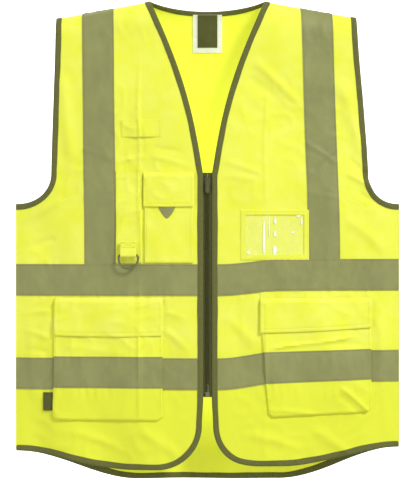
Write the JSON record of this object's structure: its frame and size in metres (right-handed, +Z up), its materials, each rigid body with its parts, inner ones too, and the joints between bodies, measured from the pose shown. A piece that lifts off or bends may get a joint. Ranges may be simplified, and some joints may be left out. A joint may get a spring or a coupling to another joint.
{
  "type": "high visibility vest",
  "caption": "Sleeveless zip-front high visibility safety vest with reflective tape bands and braces, chest and lower pockets with flaps, and a ring on webbing.",
  "frame": {"origin": "the point level with the neck ends of the shoulder seams, midway between front and back, where a hanger or the wearer's neck carries the vest", "axes": "+Z up, the front of the vest faces -Y, +X is the wearer's left"},
  "size_m": [0.6006, 0.074, 0.7507],
  "materials": {
    "hi_vis_fabric": "fluorescent yellow knitted polyester, matte",
    "olive_binding": "olive woven edge binding and webbing, matte",
    "reflective_tape": "retroreflective glass-bead tape, satin",
    "zip_coil": "dark olive nylon coil",
    "coated_metal": "olive enamel on cast zip hardware",
    "moulded_olive": "olive moulded acetal",
    "hook_and_loop": "hook and loop fastener tape",
    "clear_vinyl": "clear glossy vinyl film",
    "white_label": "white satin label",
    "green_label": "green woven label"
  },
  "bodies": {
    "vest": {"back_panel": "hi_vis_fabric", "right_front_panel": "hi_vis_fabric", "left_front_panel": "hi_vis_fabric", "right_lower_pocket": "hi_vis_fabric", "left_lower_pocket": "hi_vis_fabric", "phone_pocket": "hi_vis_fabric", "pen_pocket": "hi_vis_fabric", "badge_pocket_frame": "hi_vis_fabric", "radio_loop": "hi_vis_fabric", "back_neck_binding": "olive_binding", "right_front_binding": "olive_binding", "left_front_binding": "olive_binding", "back_hem_binding": "olive_binding", "right_armhole_binding": "olive_binding", "left_armhole_binding": "olive_binding", "right_zip_tape": "olive_binding", "left_zip_tape": "olive_binding", "ring_webbing": "hi_vis_fabric", "right_front_brace_tape": "reflective_tape", "left_front_brace_tape": "reflective_tape", "right_back_brace_tape": "reflective_tape", "left_back_brace_tape": "reflective_tape", "right_chest_tape": "reflective_tape", "left_chest_tape": "reflective_tape", "back_chest_tape": "reflective_tape", "right_waist_tape": "reflective_tape", "left_waist_tape": "reflective_tape", "back_waist_tape": "reflective_tape", "right_pocket_tape": "reflective_tape", "left_pocket_tape": "reflective_tape", "right_zip_coil": "zip_coil", "left_zip_coil": "zip_coil", "right_zip_stop": "coated_metal", "left_zip_stop": "coated_metal", "zip_box": "moulded_olive", "zip_pin": "moulded_olive", "right_lower_loop_patch": "hook_and_loop", "left_lower_loop_patch": "hook_and_loop", "phone_loop_patch": "hook_and_loop", "badge_pocket_window": "clear_vinyl", "care_label": "white_label", "size_label": "green_label", "side_tag": "green_label"},
    "zip_slider": {"zip_slider": "coated_metal"},
    "zip_pull": {"zip_pull": "coated_metal"},
    "right_flap": {"right_lower_flap": "hi_vis_fabric", "right_lower_hook_patch": "hook_and_loop"},
    "left_flap": {"left_lower_flap": "hi_vis_fabric", "left_lower_hook_patch": "hook_and_loop"},
    "phone_flap": {"phone_flap": "hi_vis_fabric", "phone_flap_tab": "reflective_tape", "phone_hook_patch": "hook_and_loop"},
    "ring": {"d_ring": "moulded_olive"}
  },
  "joints": [
    {"name": "zip_slide", "type": "slide", "parent": "vest", "child": "zip_slider", "axis": [0, 0, -1], "range_m": [0, 0.318]},
    {"name": "zip_pull_swing", "type": "hinge", "parent": "zip_slider", "child": "zip_pull", "pos_m": [0, -0.0358, -0.2816], "axis": [-1, 0, 0], "range_deg": [0, 170]},
    {"name": "right_flap_lift", "type": "hinge", "parent": "vest", "child": "right_flap", "pos_m": [-0.15601, -0.0246, -0.465], "axis": [-0.9947, 0.1031, 0], "range_deg": [0, 110]},
    {"name": "left_flap_lift", "type": "hinge", "parent": "vest", "child": "left_flap", "pos_m": [0.17006, -0.02308, -0.465], "axis": [-0.9937, -0.1123, 0], "range_deg": [0, 110]},
    {"name": "phone_flap_lift", "type": "hinge", "parent": "vest", "child": "phone_flap", "pos_m": [-0.06011, -0.03155, -0.27], "axis": [-0.9993, 0.0383, 0], "range_deg": [0, 110]},
    {"name": "ring_swing", "type": "hinge", "parent": "vest", "child": "ring", "pos_m": [-0.12284, -0.03655, -0.3985], "axis": [-0.9971, 0.0757, 0], "range_deg": [0, 150]}
  ]
}
